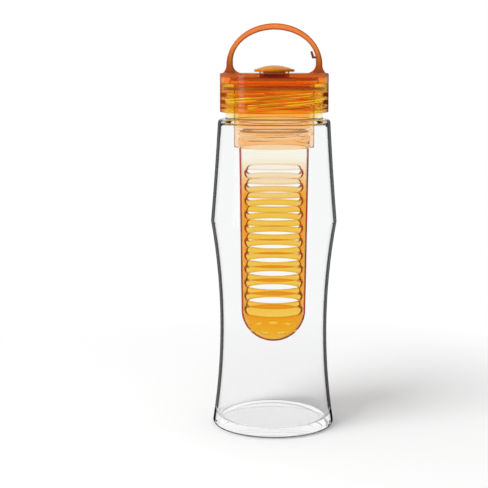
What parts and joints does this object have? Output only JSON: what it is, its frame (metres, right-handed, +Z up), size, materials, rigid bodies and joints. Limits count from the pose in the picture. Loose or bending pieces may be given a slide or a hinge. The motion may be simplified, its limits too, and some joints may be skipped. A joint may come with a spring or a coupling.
{
  "type": "fruit infuser water bottle",
  "caption": "Clear waisted water bottle with a screw lid, carry loop, flip cap over a spout, and a slotted infuser basket that screws into a sleeve under the lid.",
  "frame": {"origin": "centre of the foot, on the surface that the bottle stands on", "axes": "+Z up along the bottle's axis, -Y towards the front, X along the span of the carry loop"},
  "size_m": [0.0813, 0.0814, 0.2602],
  "materials": {
    "clear_plastic": "clear, polished",
    "amber_plastic": "translucent, polished",
    "red_amber_plastic": "translucent, polished",
    "dark_amber_plastic": "polished",
    "salmon_plastic": "translucent, satin",
    "orange_clear_plastic": "translucent, polished",
    "cap_plastic": "translucent, polished",
    "clear_silicone": "milky, matt",
    "pin_steel": "plain"
  },
  "bodies": {
    "bottle": {"bottle_body": "clear_plastic"},
    "gasket": {"mouth_gasket": "clear_silicone"},
    "lid": {"lid_skirt": "amber_plastic", "lid_top": "red_amber_plastic", "loop_hook": "dark_amber_plastic", "infuser_sleeve": "salmon_plastic", "sleeve_seal": "clear_silicone", "drink_spout": "salmon_plastic", "spout_seal": "clear_silicone", "hinge_pin": "pin_steel"},
    "flip_cap": {"flip_cap": "cap_plastic", "cap_plug": "clear_silicone"},
    "basket_ring": {"infuser_ring": "clear_silicone"},
    "basket": {"infuser_basket": "orange_clear_plastic"}
  },
  "joints": [
    {"name": "lid_rise", "type": "slide", "parent": "bottle", "child": "gasket", "axis": [0, 0, 1], "range_m": [0, 0.1756]},
    {"name": "lid_turn", "type": "hinge", "parent": "gasket", "child": "lid", "pos_m": [0, 0, 0.2186], "axis": [0, 0, 1], "range_deg": [0, 4680]},
    {"name": "flip_cap_hinge", "type": "hinge", "parent": "lid", "child": "flip_cap", "pos_m": [0, 0.014, 0.2304], "axis": [-1, 0, 0], "range_deg": [0, 120]},
    {"name": "basket_drop", "type": "slide", "parent": "lid", "child": "basket_ring", "axis": [0, 0, -1], "range_m": [0, 0.0169]},
    {"name": "basket_turn", "type": "hinge", "parent": "basket_ring", "child": "basket", "pos_m": [0, 0, 0.182], "axis": [0, 0, -1], "range_deg": [0, 1440]}
  ],
  "couplings": [
    {"joint": "lid_rise", "follows": "lid_turn", "m_per_rad": 0.0021486},
    {"joint": "basket_drop", "follows": "basket_turn", "m_per_rad": 0.00066845}
  ]
}
